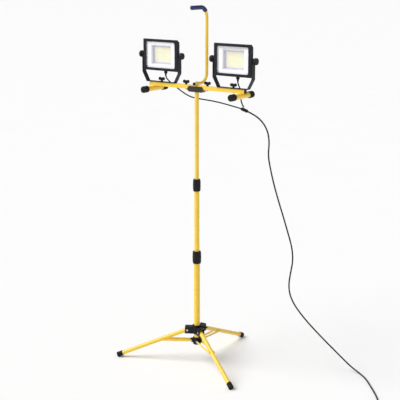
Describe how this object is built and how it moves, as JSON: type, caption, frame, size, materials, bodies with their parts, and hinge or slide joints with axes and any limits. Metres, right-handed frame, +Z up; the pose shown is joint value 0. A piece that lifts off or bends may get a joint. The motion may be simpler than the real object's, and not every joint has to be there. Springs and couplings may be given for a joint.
{
  "type": "tripod work light",
  "caption": "Twin LED floodlights on a crossbar with a carrying handle, on a telescopic folding tripod, with tilting yokes, twist locks and a mains cord.",
  "frame": {"origin": "on the floor under the mast's axis", "axes": "+Z up along the mast, X along the crossbar, lamps face -Y"},
  "size_m": [1.5505, 0.6569, 1.8516],
  "materials": {
    "yellow_paint": "satin",
    "black_plastic": "satin",
    "nylon": "matte",
    "black_rubber": "matte",
    "navy_grip": "matte",
    "zinc_steel": "satin",
    "black_powder_coat": "satin",
    "clear_glass": "gloss",
    "white_tray": "satin",
    "led_yellow": "satin",
    "cord_rubber": "matte"
  },
  "bodies": {
    "mast_lower": {"mast_tube_lower": "yellow_paint", "tripod_hub_lower": "black_plastic", "brace_pins": "zinc_steel", "mains_cord_lower": "cord_rubber", "cord_coil": "cord_rubber", "coil_tie": "black_plastic", "plug_body": "black_rubber", "plug_pins": "zinc_steel"},
    "hub": {"tripod_hub_upper": "black_plastic", "leg_pins": "zinc_steel"},
    "hub_screw": {"hub_clamp_screw": "black_plastic"},
    "leg_1": {"leg_tube_1": "yellow_paint", "leg_foot_1": "black_rubber"},
    "brace_1": {"leg_brace_1": "yellow_paint"},
    "leg_2": {"leg_tube_2": "yellow_paint", "leg_foot_2": "black_rubber"},
    "brace_2": {"leg_brace_2": "yellow_paint"},
    "leg_3": {"leg_tube_3": "yellow_paint", "leg_foot_3": "black_rubber"},
    "brace_3": {"leg_brace_3": "yellow_paint"},
    "mast_middle": {"mast_tube_middle": "yellow_paint", "guide_bush_middle": "nylon"},
    "lock_lower": {"twist_lock_lower": "black_plastic"},
    "mast_upper": {"mast_tube_upper": "yellow_paint", "guide_bush_upper": "nylon", "mast_head_saddle": "black_plastic", "crossbar": "yellow_paint", "tube_end_plugs": "black_plastic", "foot_bars": "yellow_paint", "foot_bar_caps": "black_rubber", "carry_handle": "yellow_paint", "carry_handle_grip": "navy_grip", "handle_bolt": "zinc_steel", "lead_left": "cord_rubber", "lead_right": "cord_rubber", "cord_splitter": "black_rubber", "mains_cord_upper": "cord_rubber"},
    "lock_upper": {"twist_lock_upper": "black_plastic"},
    "bar_knob_left": {"bar_screw_left": "black_plastic"},
    "yoke_knob_left": {"yoke_screw_left": "black_plastic"},
    "bracket_left": {"yoke_left": "black_powder_coat"},
    "lamp_left": {"bezel_left": "black_powder_coat", "casing_left": "black_powder_coat", "glass_left": "clear_glass", "reflector_left": "white_tray", "led_module_left": "led_yellow", "cable_gland_left": "black_plastic"},
    "tilt_knob_outer_left": {"knob_outer_left": "black_plastic"},
    "tilt_knob_inner_left": {"knob_inner_left": "black_plastic"},
    "bar_knob_right": {"bar_screw_right": "black_plastic"},
    "yoke_knob_right": {"yoke_screw_right": "black_plastic"},
    "bracket_right": {"yoke_right": "black_powder_coat"},
    "lamp_right": {"bezel_right": "black_powder_coat", "casing_right": "black_powder_coat", "glass_right": "clear_glass", "reflector_right": "white_tray", "led_module_right": "led_yellow", "cable_gland_right": "black_plastic"},
    "tilt_knob_outer_right": {"knob_outer_right": "black_plastic"},
    "tilt_knob_inner_right": {"knob_inner_right": "black_plastic"}
  },
  "joints": [
    {"name": "mast_middle_slide", "type": "slide", "parent": "mast_lower", "child": "mast_middle", "axis": [0, 0, 1], "range_m": [-0.31, 0], "deforming": ["mains_cord_lower"]},
    {"name": "mast_upper_slide", "type": "slide", "parent": "mast_middle", "child": "mast_upper", "axis": [0, 0, 1], "range_m": [-0.42, 0], "deforming": ["mains_cord_upper"]},
    {"name": "lower_lock_twist", "type": "hinge", "parent": "mast_lower", "child": "lock_lower", "pos_m": [0, 0, 0.56875], "axis": [0, 0, 1], "range_deg": [0, 90]},
    {"name": "upper_lock_twist", "type": "hinge", "parent": "mast_middle", "child": "lock_upper", "pos_m": [0, 0, 0.95], "axis": [0, 0, 1], "range_deg": [0, 90]},
    {"name": "hub_slide", "type": "slide", "parent": "mast_lower", "child": "hub", "axis": [0, 0, 1], "range_m": [0, 0.25]},
    {"name": "hub_clamp_turn", "type": "hinge", "parent": "hub", "child": "hub_screw", "pos_m": [0.02875, 0.0166, 0.184], "axis": [0.866, 0.5, 0], "continuous": true},
    {"name": "leg_1_fold", "type": "hinge", "parent": "hub", "child": "leg_1", "pos_m": [-0.0433, -0.025, 0.17], "axis": [0.5, -0.866, 0], "range_deg": [0, 66]},
    {"name": "brace_1_fold", "type": "hinge", "parent": "mast_lower", "child": "brace_1", "pos_m": [-0.02598, -0.015, 0.113], "axis": [0.5, -0.866, 0], "range_deg": [-82, 0]},
    {"name": "leg_2_fold", "type": "hinge", "parent": "hub", "child": "leg_2", "pos_m": [0.0433, -0.025, 0.17], "axis": [0.5, 0.866, 0], "range_deg": [0, 66]},
    {"name": "brace_2_fold", "type": "hinge", "parent": "mast_lower", "child": "brace_2", "pos_m": [0.02598, -0.015, 0.113], "axis": [0.5, 0.866, 0], "range_deg": [-82, 0]},
    {"name": "leg_3_fold", "type": "hinge", "parent": "hub", "child": "leg_3", "pos_m": [0, 0.05, 0.17], "axis": [-1, 0, 0], "range_deg": [0, 66]},
    {"name": "brace_3_fold", "type": "hinge", "parent": "mast_lower", "child": "brace_3", "pos_m": [0, 0.03, 0.113], "axis": [-1, 0, 0], "range_deg": [-82, 0]},
    {"name": "bar_screw_left_turn", "type": "hinge", "parent": "mast_upper", "child": "bar_knob_left", "pos_m": [-0.0658, 0, 1.46], "axis": [0, 0, 1], "continuous": true},
    {"name": "yoke_screw_left_turn", "type": "hinge", "parent": "mast_upper", "child": "yoke_knob_left", "pos_m": [-0.2223, 0, 1.46], "axis": [0, 0, 1], "continuous": true},
    {"name": "yoke_left_swivel", "type": "hinge", "parent": "mast_upper", "child": "bracket_left", "pos_m": [-0.2223, 0, 1.4603], "axis": [0, 0, 1], "range_deg": [-35, 35]},
    {"name": "lamp_left_tilt", "type": "hinge", "parent": "bracket_left", "child": "lamp_left", "pos_m": [-0.2223, 0, 1.598], "axis": [1, 0, 0], "range_deg": [-60, 45], "deforming": ["lead_left"]},
    {"name": "tilt_knob_outer_left_turn", "type": "hinge", "parent": "lamp_left", "child": "tilt_knob_outer_left", "pos_m": [-0.3523, 0, 1.598], "axis": [1, 0, 0], "continuous": true},
    {"name": "tilt_knob_inner_left_turn", "type": "hinge", "parent": "lamp_left", "child": "tilt_knob_inner_left", "pos_m": [-0.0923, 0, 1.598], "axis": [1, 0, 0], "continuous": true},
    {"name": "bar_screw_right_turn", "type": "hinge", "parent": "mast_upper", "child": "bar_knob_right", "pos_m": [0.0658, 0, 1.46], "axis": [0, 0, 1], "continuous": true},
    {"name": "yoke_screw_right_turn", "type": "hinge", "parent": "mast_upper", "child": "yoke_knob_right", "pos_m": [0.2223, 0, 1.46], "axis": [0, 0, 1], "continuous": true},
    {"name": "yoke_right_swivel", "type": "hinge", "parent": "mast_upper", "child": "bracket_right", "pos_m": [0.2223, 0, 1.4603], "axis": [0, 0, 1], "range_deg": [-35, 35]},
    {"name": "lamp_right_tilt", "type": "hinge", "parent": "bracket_right", "child": "lamp_right", "pos_m": [0.2223, 0, 1.598], "axis": [1, 0, 0], "range_deg": [-60, 45], "deforming": ["lead_right"]},
    {"name": "tilt_knob_outer_right_turn", "type": "hinge", "parent": "lamp_right", "child": "tilt_knob_outer_right", "pos_m": [0.0923, 0, 1.598], "axis": [1, 0, 0], "continuous": true},
    {"name": "tilt_knob_inner_right_turn", "type": "hinge", "parent": "lamp_right", "child": "tilt_knob_inner_right", "pos_m": [0.3523, 0, 1.598], "axis": [1, 0, 0], "continuous": true}
  ],
  "couplings": [
    {"joint": "leg_1_fold", "follows": "hub_slide", "rad_per_m": 4.5488},
    {"joint": "brace_1_fold", "follows": "hub_slide", "rad_per_m": -5.6771},
    {"joint": "leg_2_fold", "follows": "hub_slide", "rad_per_m": 4.5488},
    {"joint": "brace_2_fold", "follows": "hub_slide", "rad_per_m": -5.6771},
    {"joint": "leg_3_fold", "follows": "hub_slide", "rad_per_m": 4.5488},
    {"joint": "brace_3_fold", "follows": "hub_slide", "rad_per_m": -5.6771}
  ]
}
